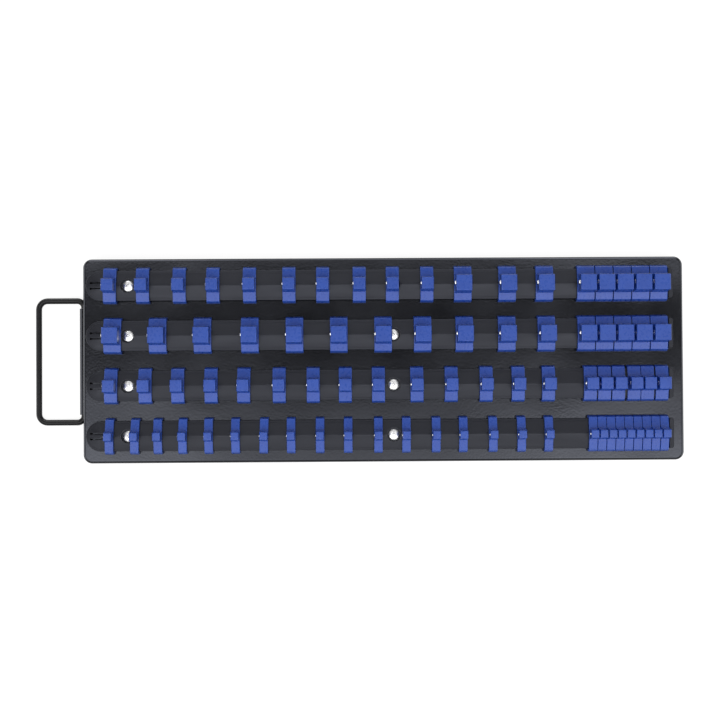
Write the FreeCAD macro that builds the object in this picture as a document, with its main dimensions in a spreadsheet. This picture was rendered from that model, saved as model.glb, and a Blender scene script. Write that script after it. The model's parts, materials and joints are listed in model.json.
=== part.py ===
import FreeCAD, Part
import math
import os
import re

import Sketcher

# A socket holder tray: a pressed steel tray with a wire bail handle, four plastic rails riveted to it,
# and eighty plastic clips that slide along the rails. Each clip has a square drive post with a sprung
# steel ball in its left face. +X runs along the rails, away from the handle, and +Z is up. The origin is
# on the table, in the middle of the whole length, handle included.

# ---------------------------------------------------------------- driving dimensions, in millimetres
SIZES = {
    # tray
    "tray_length": 482.6,
    "tray_width": 164.0,
    "tray_height": 22.0,
    "sheet_thick": 1.0,
    "corner_radius": 7.0,
    "edge_bend": 2.5,
    # bail handle, and the flange's curl that it swings in
    "wire_dia": 4.8,
    "hinge_play": 0.1,
    "curl_lift": 0.1,
    "curl_length": 86.4,
    "curl_slot": 0.6,
    "curl_end_gap": 0.8,
    "handle_reach": 42.7,
    "handle_bend": 7.0,
    "hinge_bend": 5.5,
    "hinge_insert": 22.0,
    # rails
    "row_pitch": 40.0,
    "rail_inset": 3.4,
    "rail_length": 468.6,
    "foot_width": 16.0,
    "foot_height": 3.6,
    "rail_width": 24.0,
    "ledge_thick": 2.6,
    "ledge_width": 3.0,
    "roof_rise": 2.0,
    # snap tongue near a rail's left end, which is the clips' left stop
    "tongue_width": 4.1,
    "tongue_root": 5.2,
    "tongue_end": 13.8,
    "tongue_thick": 2.2,
    "tongue_gap": 0.8,
    "slit_width": 0.8,
    "relief_dia": 1.7,
    "bump_length": 2.0,
    "bump_rise": 1.6,
    # end stop at a rail's right end
    "stop_thick": 3.5,
    "stop_rise": 1.4,
    "stop_corner": 2.0,
    # rivets
    "rivet_first": 33.6,
    "rivet_pitch": 211.8,
    "rivet_dia": 3.8,
    "rivet_play": 0.05,
    "counterbore_dia": 11.2,
    "counterbore_floor": 4.4,
    "head_dia": 8.2,
    "head_rise": 2.6,
    "tail_dia": 6.4,
    "tail_rise": 1.6,
    "core_dia": 2.0,
    "core_depth": 1.2,
    # clips
    "slide_play": 0.3,
    "clip_width": 29.0,
    "clip_lift": 1.0,
    "hook_lap": 3.6,
    "saddle_thick": 2.3,
    "shoulder_run": 1.3,
    "shoulder_drop": 3.0,
    "post_chamfer": 0.2,
    "large_clip": 14.0,
    "large_drive": 12.7,
    "large_post": 11.8,
    "large_ball": 4.4,
    "large_spring": 4.5,
    "medium_clip": 10.4,
    "medium_drive": 9.525,
    "medium_post": 10.8,
    "medium_ball": 3.4,
    "medium_spring": 3.0,
    "small_clip": 6.8,
    "small_drive": 6.35,
    "small_post": 7.8,
    "small_ball": 2.2,
    "small_spring": 2.0,
    # detents
    "ball_play": 0.05,
    "ball_stand": 0.3,
    "ball_drop": 5.0,
    "small_ball_drop": 3.2,
    "spring_play": 0.15,
    "spring_wall": 0.5,
}

RIVETS_PER_RAIL = 3
TINY = 0.01

# Each row from the back: the kinds of its single clips in runs, then the gap before each of them and the
# gap before the parked stack, then the kind of the parked clips and the gaps between them. The gaps are as
# they stand in use. The single clips' gaps keep their shares of the free run when a length changes.
ROWS = [
    {
        "singles": [("medium", 10), ("large", 3)],
        "gaps": [0.6, 15.8, 18.8, 16.4, 18.7, 21.1, 16.5, 18.8, 16.0, 17.2, 16.5, 21.5, 15.8, 19.2],
        "parked": ("large", [0.6, 0.6, 0.6, 0.6]),
        "turns": {1: -1.0},
    },
    {
        "singles": [("large", 11)],
        "gaps": [0.8, 22.0, 21.6, 23.7, 21.5, 21.3, 21.3, 17.5, 19.3, 19.9, 17.6, 17.9],
        "parked": ("large", [0.6, 0.6, 0.6, 0.6]),
        "turns": {1: -0.8},
    },
    {
        "singles": [("medium", 14)],
        "gaps": [1.3, 16.9, 15.5, 16.1, 15.6, 17.8, 16.7, 15.2, 16.0, 20.3, 17.0, 17.5, 15.2, 13.8, 23.1],
        "parked": ("medium", [0.9, 0.8, 2.0, 0.4, 1.2]),
        "turns": {1: -1.0, 5: -0.8, 10: 0.5},
    },
    {
        "singles": [("small", 17)],
        "gaps": [1.8, 13.4, 11.5, 13.0, 13.8, 14.6, 15.8, 14.8, 16.3, 15.6, 17.3, 15.5, 17.0, 14.8, 17.0,
                 15.9, 15.0, 28.7],
        "parked": ("small", [0.35] * 8),
        "turns": {1: -1.4, 2: -2.3, 4: -1.2, 7: -1.4, 15: 0.8, 16: 0.8},
    },
]
PAIRED_ROW = 4  # its clips are taken two to a body, to keep the number of bodies down
DETENTS = {(2, 6), (3, 7)}  # row and place of the clips whose ball is a body of its own

doc = FreeCAD.newDocument("SocketTray")
sheet = doc.addObject("Spreadsheet::Sheet", "Sizes")
for line, (alias, size) in enumerate(SIZES.items(), start=1):
    sheet.set(f"A{line}", alias)
    sheet.set(f"B{line}", str(size))
    sheet.setAlias(f"B{line}", alias)
doc.recompute()

# ---------------------------------------------------------------- places used by several pieces
TRAY_LEFT = "(handle_reach - tray_length) / 2"
TRAY_MIDDLE = "handle_reach / 2"
RAIL_LEFT = f"({TRAY_LEFT} + rail_inset)"
LEDGE_TOP = "(foot_height + ledge_thick)"
ROOF_HALF = "(rail_width / 2 - ledge_width)"
RIDGE = f"({LEDGE_TOP} + roof_rise)"
CURL_BORE = "(wire_dia / 2 + hinge_play)"
CURL_RADIUS = f"({CURL_BORE} + sheet_thick)"
HINGE_X = f"({TRAY_LEFT} - {CURL_BORE})"
HINGE_Z = f"({CURL_RADIUS} + curl_lift)"
HEAD_RADIUS = "((head_dia^2 / 4 + head_rise^2) / (2 * head_rise))"
CLIP_RIDGE = f"({RIDGE} + slide_play + saddle_thick)"
LEFT_STOP = f"({RAIL_LEFT} + tongue_end)"
RIGHT_STOP = f"({RAIL_LEFT} + rail_length - stop_thick)"

X_AXIS = FreeCAD.Vector(1, 0, 0)
Y_AXIS = FreeCAD.Vector(0, 1, 0)
Z_AXIS = FreeCAD.Vector(0, 0, 1)


def bound(formula):
    """A formula of cell names, with each name written as the sheet's own."""
    return re.sub(r"\b[a-z_]+\b", lambda m: f"Sizes.{m[0]}" if m[0] in SIZES else m[0], formula)


def put(piece, x="0", y="0", z="0", turn=0.0, axis=Z_AXIS):
    """Place a piece at bound coordinates, turned about an axis through its own origin."""
    piece.Placement = FreeCAD.Placement(FreeCAD.Vector(), FreeCAD.Rotation(axis, turn))
    for way, formula in zip("xyz", (x, y, z)):
        piece.setExpression(f"Placement.Base.{way}", bound(formula))
    return piece


def row_y(row):
    """A row's distance from the tray's long middle line."""
    return f"{(len(ROWS) - 1) / 2 - row} * row_pitch"


def solid(kind, name, **sizes):
    """A Part primitive with bound sizes."""
    piece = doc.addObject(f"Part::{kind}", name)
    for size, formula in sizes.items():
        piece.setExpression(size, bound(formula))
    return piece


def group(name, pieces):
    """Pieces kept as separate solids of one sub-part."""
    compound = doc.addObject("Part::Compound", name)
    compound.Links = pieces
    return compound


# ---------------------------------------------------------------- sketches and features
def sketch_on(body, plane, name, offset="0"):
    """A sketch on one of the body's own origin planes, moved along the plane's normal."""
    sketch = body.newObject("Sketcher::SketchObject", name)
    face = next(f for f in body.Origin.OriginFeatures if f.Role == plane)
    sketch.AttachmentSupport = (face, [""])
    sketch.MapMode = "FlatFace"
    sketch.setExpression("AttachmentOffset.Base.z", bound(offset))
    return sketch


def pin(sketch, edge, end, x, y):
    """Hold an end of an edge at bound distances from the sketch's origin, None leaving one free."""
    for kind, axis, formula in (("DistanceX", -2, x), ("DistanceY", -1, y)):
        if formula == "0":
            sketch.addConstraint(Sketcher.Constraint("PointOnObject", edge, end, axis))
        elif formula is not None:
            at = sketch.getPoint(edge, end)
            now = at.x if kind == "DistanceX" else at.y
            number = sketch.addConstraint(Sketcher.Constraint(kind, -1, 1, edge, end, now))
            sketch.setExpression(f"Constraints[{number}]", bound(formula))


def polygon(sketch, corners):
    """A closed outline whose corners are pairs of formulas."""
    start = sketch.GeometryCount
    count = len(corners)
    ring = [FreeCAD.Rotation(Z_AXIS, 360 * n / count) * X_AXIS for n in range(count + 1)]
    for n in range(count):
        sketch.addGeometry(Part.LineSegment(ring[n], ring[n + 1]))
    for n, (x, y) in enumerate(corners):
        edge = start + n
        sketch.addConstraint(Sketcher.Constraint("Coincident", edge, 2, start + (n + 1) % count, 1))
        pin(sketch, edge, 1, x, y)


def rectangle(sketch, left, right, low, high):
    polygon(sketch, [(left, low), (right, low), (right, high), (left, high)])


def circle(sketch, x, y, diameter):
    ring = Part.Circle(FreeCAD.Vector(1, 1, 0), Z_AXIS, 1)
    edge = sketch.addGeometry(ring)
    pin(sketch, edge, 3, x, y)
    number = sketch.addConstraint(Sketcher.Constraint("Diameter", edge, 2.0))
    sketch.setExpression(f"Constraints[{number}]", bound(diameter))


def pad(body, sketch, length, midplane=False):
    """Material along the sketch's normal, or half to each side."""
    feature = body.newObject("PartDesign::Pad", f"{sketch.Name}_pad")
    feature.Profile = sketch
    feature.setExpression("Length", bound(length))
    feature.Midplane = midplane
    return feature


def pocket(body, sketch, depth=None, upwards=False, midplane=False):
    """A cut against the sketch's normal, or along it if upwards; with no depth, through everything."""
    feature = body.newObject("PartDesign::Pocket", f"{sketch.Name}_pocket")
    feature.Profile = sketch
    feature.Reversed = upwards
    feature.Midplane = midplane
    if depth is None:
        feature.Type = "ThroughAll"
    else:
        feature.setExpression("Length", bound(depth))
    return feature


def edges_where(feature, test):
    """The names of a feature's edges that pass a test on their bounding box."""
    return [f"Edge{n}" for n, edge in enumerate(feature.Shape.Edges, 1) if test(edge.BoundBox)]


def dress(body, kind, base, edges, size):
    """A Fillet or Chamfer of bound size on some edges of a feature."""
    feature = body.newObject(f"PartDesign::{kind}", f"{base.Name}_{kind.lower()}")
    feature.Base = (base, edges)
    feature.setExpression("Radius" if kind == "Fillet" else "Size", bound(size))
    return feature


# ---------------------------------------------------------------- tray
def make_tray():
    """A pan with its plate on top: flange all round, and its left edge curled round the handle wire."""
    body = doc.addObject("PartDesign::Body", "tray")
    blank = sketch_on(body, "XY_Plane", "tray_plan")
    rectangle(blank, "-tray_length / 2", "tray_length / 2", "-tray_width / 2", "tray_width / 2")
    block = pad(body, blank, "tray_height")
    doc.recompute()
    upright = edges_where(block, lambda b: b.ZLength > TINY and b.XLength < TINY and b.YLength < TINY)
    corners = dress(body, "Fillet", block, upright, "corner_radius")
    doc.recompute()
    rim = edges_where(corners, lambda b: b.ZMin > SIZES["tray_height"] - TINY)
    bent = dress(body, "Fillet", corners, rim, "edge_bend")
    doc.recompute()
    under = next(
        f"Face{n}" for n, face in enumerate(bent.Shape.Faces, 1) if face.BoundBox.ZMax < TINY
    )
    shell = body.newObject("PartDesign::Thickness", "tray_shell")
    shell.Base = (bent, [under])
    shell.Reversed = True
    shell.Join = "Arc"
    shell.setExpression("Value", bound("sheet_thick"))
    doc.recompute()

    flange = "-tray_length / 2"
    curl_x = f"{flange} - {CURL_BORE}"
    gap = sketch_on(body, "XY_Plane", "curl_gap", HINGE_Z)
    half = "curl_length / 2"
    rectangle(gap, f"{flange} - sheet_thick", f"{flange} + 2 * sheet_thick", f"-{half}", half)
    pocket(body, gap)
    ring = sketch_on(body, "XZ_Plane", "curl_ring")
    circle(ring, curl_x, HINGE_Z, f"2 * {CURL_RADIUS}")
    circle(ring, curl_x, HINGE_Z, f"2 * {CURL_BORE}")
    pad(body, ring, "curl_length", midplane=True)
    slot = sketch_on(body, "XZ_Plane", "curl_mouth")
    rectangle(slot, f"{flange} - curl_slot", flange, HINGE_Z, f"{HINGE_Z} + 2 * {CURL_RADIUS}")
    pocket(body, slot, "curl_length + 2 * sheet_thick", midplane=True)
    holes = sketch_on(body, "XY_Plane", "tray_rivet_holes", "tray_height")
    for row in range(len(ROWS)):
        for place in range(RIVETS_PER_RAIL):
            x = f"rail_inset + rivet_first + {place} * rivet_pitch - tray_length / 2"
            circle(holes, x, row_y(row), "rivet_dia + 2 * rivet_play")
    pocket(body, holes, "2 * sheet_thick")
    return put(body, TRAY_MIDDLE)


# ---------------------------------------------------------------- bail handle
def make_handle():
    """One wire: a grip bar, two legs, and ends turned in to lie in the curl. Straight runs and bends."""
    bar_x = f"({TRAY_LEFT} - handle_reach + wire_dia / 2)"
    leg_y = "(curl_length / 2 + curl_end_gap + hinge_bend)"
    radius = "wire_dia / 2"
    runs = []
    bar = solid("Cylinder", "handle_bar", Radius=radius, Height=f"2 * ({leg_y} - handle_bend)")
    runs.append(put(bar, bar_x, f"{leg_y} - handle_bend", HINGE_Z, 90, X_AXIS))
    for side, turn_out, turn_in in ((1, 90, 0), (-1, 180, -90)):
        leg = solid("Cylinder", "handle_leg", Radius=radius,
                    Height=f"{HINGE_X} - hinge_bend - {bar_x} - handle_bend")
        runs.append(put(leg, f"{bar_x} + handle_bend", f"{side} * {leg_y}", HINGE_Z, 90, Y_AXIS))
        outer = solid("Torus", "handle_corner", Radius1="handle_bend", Radius2=radius)
        outer.Angle3 = 90
        outer_y = f"{side} * ({leg_y} - handle_bend)"
        runs.append(put(outer, f"{bar_x} + handle_bend", outer_y, HINGE_Z, turn_out))
        inner = solid("Torus", "handle_turn", Radius1="hinge_bend", Radius2=radius)
        inner.Angle3 = 90
        inner_y = f"{side} * ({leg_y} - hinge_bend)"
        runs.append(put(inner, f"{HINGE_X} - hinge_bend", inner_y, HINGE_Z, turn_in))
        tip = solid("Cylinder", "handle_tip", Radius=radius, Height="hinge_insert")
        runs.append(put(tip, HINGE_X, inner_y, HINGE_Z, 90 * side, X_AXIS))
    handle = doc.addObject("Part::MultiFuse", "bail_handle")
    handle.Shapes = runs
    return handle


# ---------------------------------------------------------------- rails
def round_left_end(body, name, radius, floor=None):
    """Cut a rail's left end to a half round about the middle of its full-width end."""
    cut = sketch_on(body, "XY_Plane", name, floor or "0")
    reach = "rail_width"
    centre = "rail_width / 2"
    half = SIZES["rail_width"] / 2
    ring = Part.Circle(FreeCAD.Vector(half, 0, 0), Z_AXIS, half - 1)
    cut.addGeometry(Part.ArcOfCircle(ring, math.pi / 2, 3 * math.pi / 2))
    outline = [(1, 1), (1, 2), (-2, 2), (-2, -2), (1, -2), (1, -1)]
    points = [FreeCAD.Vector(x * half, y * half, 0) for x, y in outline]
    for a, b in zip(points, points[1:]):
        cut.addGeometry(Part.LineSegment(a, b))
    for edge in range(1, 5):
        cut.addConstraint(Sketcher.Constraint("Coincident", edge, 2, edge + 1, 1))
    cut.addConstraint(Sketcher.Constraint("Coincident", 0, 1, 1, 1))
    cut.addConstraint(Sketcher.Constraint("Coincident", 0, 2, 5, 2))
    pin(cut, 0, 3, centre, "0")
    pin(cut, 0, 1, centre, None)
    pin(cut, 0, 2, centre, None)
    for edge, x, y in ((1, centre, reach), (2, f"-{reach}", reach), (3, f"-{reach}", f"-{reach}"),
                       (4, centre, f"-{reach}")):
        pin(cut, edge, 2, x, y)
    number = cut.addConstraint(Sketcher.Constraint("Radius", 0, half - 1))
    cut.setExpression(f"Constraints[{number}]", bound(radius))
    pocket(body, cut, upwards=True)


def make_rail(row):
    """A moulding with a roof-shaped back on ledges that overhang its foot on both sides."""
    name = f"rail_row{row + 1}"
    body = doc.addObject("PartDesign::Body", name)
    half_foot = "foot_width / 2"
    half = "rail_width / 2"
    section = sketch_on(body, "YZ_Plane", f"{name}_section")
    right = [(half_foot, "0"), (half_foot, "foot_height"), (half, "foot_height"), (half, LEDGE_TOP),
             (ROOF_HALF, LEDGE_TOP), ("0", RIDGE)]
    left = [(f"-{y}", z) for y, z in reversed(right[:-1])]
    polygon(section, right + left)
    pad(body, section, "rail_length")
    round_left_end(body, f"{name}_end", half)
    round_left_end(body, f"{name}_roof_end", ROOF_HALF, LEDGE_TOP)

    stop = sketch_on(body, "XY_Plane", f"{name}_stop")
    rectangle(stop, "rail_length - stop_thick", "rail_length", f"-{half}", half)
    wall = pad(body, stop, f"{RIDGE} + stop_rise")
    doc.recompute()
    end = SIZES["rail_length"]
    upright = edges_where(
        wall, lambda b: b.XMin > end - TINY and b.YLength < TINY and b.ZLength > SIZES["ledge_thick"]
        and abs(b.YMin) > SIZES["foot_width"] / 2 + TINY
    )
    dress(body, "Fillet", wall, upright, "stop_corner")

    tongue = "tongue_width / 2"
    slit = f"({tongue} + slit_width)"
    hollow = sketch_on(body, "XY_Plane", f"{name}_hollow")
    rectangle(hollow, "tongue_root - relief_dia", "tongue_end + tongue_gap + relief_dia",
              f"-{slit} - relief_dia / 2", f"{slit} + relief_dia / 2")
    pocket(body, hollow, f"{RIDGE} - tongue_thick", upwards=True)
    bump = sketch_on(body, "XZ_Plane", f"{name}_bump")
    root_z = f"{RIDGE} - tongue_thick / 2"
    top_z = f"{RIDGE} + bump_rise"
    polygon(bump, [("tongue_end - bump_length", root_z), ("tongue_end", root_z), ("tongue_end", top_z),
                   ("tongue_end - bump_length / 3", top_z)])
    pad(body, bump, "tongue_width", midplane=True)
    slits = sketch_on(body, "XY_Plane", f"{name}_slits")
    far = "tongue_end + tongue_gap"
    polygon(slits, [("tongue_root", slit), (far, slit), (far, f"-{slit}"), ("tongue_root", f"-{slit}"),
                    ("tongue_root", f"-{tongue}"), ("tongue_end", f"-{tongue}"),
                    ("tongue_end", tongue), ("tongue_root", tongue)])
    pocket(body, slits, upwards=True)
    reliefs = sketch_on(body, "XY_Plane", f"{name}_reliefs")
    for side in ("", "-"):
        circle(reliefs, "tongue_root", f"{side}({tongue} + slit_width / 2)", "relief_dia")
    pocket(body, reliefs, upwards=True)

    bores = sketch_on(body, "XY_Plane", f"{name}_counterbores", "counterbore_floor")
    holes = sketch_on(body, "XY_Plane", f"{name}_rivet_holes")
    for place in range(RIVETS_PER_RAIL):
        x = f"rivet_first + {place} * rivet_pitch"
        circle(bores, x, "0", "counterbore_dia")
        circle(holes, x, "0", "rivet_dia + 2 * rivet_play")
    pocket(body, bores, upwards=True)
    pocket(body, holes, upwards=True)
    return put(body, RAIL_LEFT, row_y(row), "tray_height")


# ---------------------------------------------------------------- rivets
def make_rivets():
    """Blind rivets through the rails' counterbores and the plate, their tails spread under it."""
    cap = solid("Sphere", "rivet_cap", Radius=HEAD_RADIUS,
                Angle1=f"asin(({HEAD_RADIUS} - head_rise) / {HEAD_RADIUS})")
    put(cap, z=f"counterbore_floor + head_rise - {HEAD_RADIUS}")
    shank = solid("Cylinder", "rivet_shank", Radius="rivet_dia / 2",
                  Height="counterbore_floor + sheet_thick + tail_rise / 2 + head_rise / 2")
    put(shank, z="-sheet_thick - tail_rise / 2")
    tail = solid("Cylinder", "rivet_tail", Radius="tail_dia / 2", Height="tail_rise")
    put(tail, z="-sheet_thick - tail_rise")
    whole = doc.addObject("Part::MultiFuse", "rivet_whole")
    whole.Shapes = [cap, shank, tail]
    core = solid("Cylinder", "rivet_core", Radius="core_dia / 2", Height="2 * core_depth")
    put(core, z="counterbore_floor + head_rise - core_depth")
    rivet = doc.addObject("Part::Cut", "rivet")
    rivet.Base = whole
    rivet.Tool = core
    rivets = []
    for row in range(len(ROWS)):
        for place in range(RIVETS_PER_RAIL):
            x = f"{RAIL_LEFT} + rivet_first + {place} * rivet_pitch"
            copy = group(f"rivet_{row + 1}_{place + 1}", [rivet])
            rivets.append(put(copy, x, row_y(row), "tray_height"))
    return group("rail_rivets", rivets)


# ---------------------------------------------------------------- clips
def make_clip(kind):
    """A saddle that hooks under a rail's ledges, and a square drive post with a blind bore for its ball."""
    body = doc.addObject("PartDesign::Body", f"{kind}_clip_body")
    outer = "clip_width / 2"
    inner = "(rail_width / 2 + slide_play)"
    hook = f"({inner} - hook_lap)"
    hook_top = "foot_height - slide_play"
    eave = f"{LEDGE_TOP} + slide_play"
    ridge = f"{RIDGE} + slide_play"
    slope = f"(roof_rise / {ROOF_HALF})"
    shoulder = "(clip_width / 2 - shoulder_run)"
    shoulder_top = f"{CLIP_RIDGE} - {shoulder} * {slope}"
    section = sketch_on(body, "YZ_Plane", f"{kind}_clip_section")
    right = [
        (hook, "clip_lift"),
        (outer, "clip_lift"),
        (outer, f"{shoulder_top} - shoulder_drop"),
        (shoulder, shoulder_top),
    ]
    cavity = [
        ("0", ridge),
        (ROOF_HALF, eave),
        (inner, eave),
        (inner, hook_top),
        (hook, hook_top),
    ]
    left = [(f"-{y}", z) for y, z in reversed(right)]
    left_cavity = [(f"-{y}", z) for y, z in reversed(cavity[1:])]
    polygon(section, right + [("0", CLIP_RIDGE)] + left + left_cavity + cavity)
    pad(body, section, f"{kind}_clip", midplane=True)

    half_drive = f"{kind}_drive / 2"
    foot = sketch_on(body, "XY_Plane", f"{kind}_post_plan", ridge)
    rectangle(foot, f"-{half_drive}", half_drive, f"-{half_drive}", half_drive)
    post = pad(body, foot, f"saddle_thick + {kind}_post")
    doc.recompute()
    top = post.Shape.BoundBox.ZMax
    rim = edges_where(post, lambda b: b.ZMin > top - TINY)
    dress(body, "Chamfer", post, rim, "post_chamfer")
    bore = sketch_on(body, "YZ_Plane", f"{kind}_ball_bore", f"-{half_drive}")
    circle(bore, "0", ball_height(kind), f"{kind}_ball + 2 * ball_play")
    pocket(body, bore, ball_depth(kind) + f" + {kind}_spring", upwards=True)
    return body


def ball_height(kind):
    """The height of a clip's ball above the plate."""
    drop = "small_ball_drop" if kind == "small" else "ball_drop"
    return f"({CLIP_RIDGE} + {kind}_post - {drop})"


def ball_depth(kind):
    """How far a ball's back lies inside its post's left face."""
    return f"({kind}_ball * (1 - ball_stand))"


def make_detent(kind):
    """The steel ball, standing out of its bore, and its spring, as long as it is with the ball pressed."""
    ball = solid("Sphere", f"{kind}_ball_solid", Radius=f"{kind}_ball / 2")
    face = f"-{kind}_drive / 2"
    put(ball, f"{face} + {kind}_ball * (1 / 2 - ball_stand)", "0", ball_height(kind))
    squeezed = f"({kind}_spring - {kind}_ball * ball_stand)"
    outside = f"({kind}_ball / 2 - spring_play)"
    coil = solid("Cylinder", f"{kind}_spring_outside", Radius=outside, Height=squeezed)
    middle = solid("Cylinder", f"{kind}_spring_inside", Radius=f"{outside} - spring_wall", Height=squeezed)
    for part in (coil, middle):
        put(part, f"{face} + {kind}_ball", "0", ball_height(kind), 90, Y_AXIS)
    spring = doc.addObject("Part::Cut", f"{kind}_spring_solid")
    spring.Base = coil
    spring.Tool = middle
    return ball, spring


def run_places(row):
    """Formulas for the middle of each single clip in a row, and for each parked clip."""
    singles = [kind for kind, count in row["singles"] for _ in range(count)]
    parked_kind, parked_gaps = row["parked"]
    stack = f"({len(parked_gaps) + 1} * {parked_kind}_clip + {sum(parked_gaps):.2f})"
    stack_left = f"({RIGHT_STOP} - slide_play - {stack})"
    total = sum(row["gaps"])
    clips = " - ".join(f"{count} * {kind}_clip" for kind, count in row["singles"])
    free = f"({stack_left} - {LEFT_STOP} - {clips})"
    places = []
    for n, kind in enumerate(singles):
        passed = {k: singles[:n].count(k) for k in dict.fromkeys(singles[: n + 1])}
        lengths = " + ".join(f"{count} * {k}_clip" for k, count in passed.items())
        share = sum(row["gaps"][: n + 1]) / total
        places.append((kind, f"{LEFT_STOP} + {lengths} + {kind}_clip / 2 + {share:.5f} * {free}"))
    parked = [
        f"{stack_left} + {n + 0.5} * {parked_kind}_clip + {sum(parked_gaps[:n]):.2f}"
        for n in range(len(parked_gaps) + 1)
    ]
    return places, [(parked_kind, x) for x in parked]


def make_clips():
    """Every clip in its place: singles, pairs in the paired row, and each row's parked stack."""
    kinds = ("large", "medium", "small")
    bodies = {kind: make_clip(kind) for kind in kinds}
    detents = {kind: make_detent(kind) for kind in kinds}
    nodes = []
    for index, row in enumerate(ROWS):
        number = index + 1
        places, parked = run_places(row)
        singles = []
        for n, (kind, x) in enumerate(places, start=1):
            ball, spring = detents[kind]
            alone = (number, n) in DETENTS
            pieces = [bodies[kind], spring] if alone else [bodies[kind], spring, ball]
            turn = row["turns"].get(n, 0.0)
            clip = put(group(f"clip_row{number}_{n:02d}", pieces), x, row_y(index), "tray_height", turn)
            singles.append(clip)
            if alone:
                loose = group(f"detent_ball_row{number}_{n:02d}", [ball])
                nodes.append(put(loose, x, row_y(index), "tray_height", turn))
        if number == PAIRED_ROW:
            for n in range(0, len(singles) - 1, 2):
                nodes.append(group(f"clips_row{number}_{n + 1:02d}_{n + 2:02d}", singles[n : n + 2]))
            nodes += singles[len(singles) // 2 * 2 :]
        else:
            nodes += singles
        stack = []
        for n, (kind, x) in enumerate(parked, start=1):
            ball, spring = detents[kind]
            clip = group(f"parked_row{number}_{n}", [bodies[kind], spring, ball])
            stack.append(put(clip, x, row_y(index), "tray_height"))
        nodes.append(group(f"parked_clips_row{number}", stack))
    return nodes


# ---------------------------------------------------------------- build, check and write
nodes = [make_tray(), make_handle()]
nodes += [make_rail(row) for row in range(len(ROWS))]
nodes.append(make_rivets())
nodes += make_clips()
doc.recompute()

failed = [piece.Name for piece in doc.Objects if {"Invalid", "Error"} & set(piece.State)]
if failed:
    raise RuntimeError(f"not built: {failed}")
for piece in doc.Objects:
    if piece.TypeId == "PartDesign::Pocket" and piece.BaseFeature.Shape.Volume - piece.Shape.Volume < TINY:
        raise RuntimeError(f"{piece.Name} cuts nothing")
os.makedirs("parts", exist_ok=True)
for node in nodes:
    if node.Shape.isNull() or not node.Shape.isValid():
        raise RuntimeError(f"{node.Label} is not a sound shape")
    node.Shape.exportStep(f"parts/{node.Label}.step")
print(f"{len(nodes)} sub-parts, {sum(len(node.Shape.Solids) for node in nodes)} solids")
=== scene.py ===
# %% [markdown]
# # A socket holder tray
# A pressed steel tray with a wire handle carries four moulded rails. Eighty blue clips slide along the
# rails, and each has a square post with a sprung steel ball, which a socket snaps on to. The
# construction model is loaded first, as a fixed frame in metres. Every piece made below lies in that
# frame and rides on one of its bodies, so it moves as the real piece does.

# %% The frame
import json
import math

import bmesh
import bpy
from mathutils import Matrix, Vector

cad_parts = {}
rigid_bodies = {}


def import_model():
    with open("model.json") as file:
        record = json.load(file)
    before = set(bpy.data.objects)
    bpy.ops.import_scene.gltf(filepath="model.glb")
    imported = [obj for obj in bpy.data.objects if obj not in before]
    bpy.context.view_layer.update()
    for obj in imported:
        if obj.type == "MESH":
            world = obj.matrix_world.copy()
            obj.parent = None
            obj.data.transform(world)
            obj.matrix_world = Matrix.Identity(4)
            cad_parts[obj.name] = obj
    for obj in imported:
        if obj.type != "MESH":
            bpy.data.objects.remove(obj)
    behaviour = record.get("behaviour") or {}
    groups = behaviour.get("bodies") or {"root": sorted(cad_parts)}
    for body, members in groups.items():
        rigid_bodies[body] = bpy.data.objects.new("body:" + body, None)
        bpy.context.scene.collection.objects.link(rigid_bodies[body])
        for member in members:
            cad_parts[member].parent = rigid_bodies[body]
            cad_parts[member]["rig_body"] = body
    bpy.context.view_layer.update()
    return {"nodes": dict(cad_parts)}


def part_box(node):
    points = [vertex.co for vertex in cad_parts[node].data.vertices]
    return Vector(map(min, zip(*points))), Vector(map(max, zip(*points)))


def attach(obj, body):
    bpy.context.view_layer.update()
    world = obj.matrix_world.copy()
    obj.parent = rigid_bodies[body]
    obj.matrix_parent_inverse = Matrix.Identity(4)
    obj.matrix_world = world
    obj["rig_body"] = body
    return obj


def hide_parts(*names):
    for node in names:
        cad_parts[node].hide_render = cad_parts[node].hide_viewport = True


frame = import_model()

MM = 0.001

# %% [markdown]
# ## The camera
# The tray is seen from almost straight above, from a little over a metre, and from a little in front and
# to the left of its middle. A camera turned by zero looks straight down, so it needs only small turns.

# %% The camera
CAMERA_PLACE = Vector((-0.0095, -0.0170, 1.0660))
CAMERA_TURN = (0.925, -0.631, -0.354)  # degrees about X, Y and Z
LENS = 65.02
SENSOR = 36.0

bpy.ops.object.camera_add(location=CAMERA_PLACE, rotation=[math.radians(turn) for turn in CAMERA_TURN])
camera = bpy.context.object
camera.name = "camera"
camera.data.lens = LENS
camera.data.sensor_width = SENSOR
bpy.context.scene.camera = camera
print(f"camera {CAMERA_PLACE.z:.3f} m above the table")

# %% [markdown]
# ## Light and table
# Black and blue plastic show their shape by what they mirror. The tray is lit by one wide, soft lamp
# high in front of it and by a white room. What gloss mirrors is written down as curves: the room is dark
# overhead and just behind that, bright in front, and bright again low at the back and low at both sides.

# %% Light and table
BACKDROP = 1.0  # how bright the camera sees the room
ROOM_LIGHT = 0.52  # how bright matt surfaces see it
MIRRORED = 2.4  # how bright gloss sees the 1 of the next curve
# the sine of the angle from straight up, from front to back, and the brightness there
CURVE = ((-1.0, 0.08), (-0.75, 0.15), (-0.55, 0.45), (-0.40, 0.85), (-0.25, 0.92), (-0.07, 0.85),
         (-0.03, 0.55), (0.0, 0.22), (0.025, 0.02), (0.07, 0.0), (0.085, 0.30), (0.11, 0.58), (0.2, 0.22),
         (0.3, 0.32), (0.40, 0.26), (0.47, 0.05), (0.58, 0.15), (0.72, 1.0), (0.92, 1.0), (1.0, 0.3))
# the same for the sine to either side, by which the brightness is multiplied
ACROSS = ((0.0, 0.55), (0.09, 0.60), (0.16, 1.0), (0.27, 1.0), (0.40, 0.60), (0.55, 0.22), (1.0, 0.22))
ACROSS_FULL = 1.8  # what its 1 multiplies by
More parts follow.
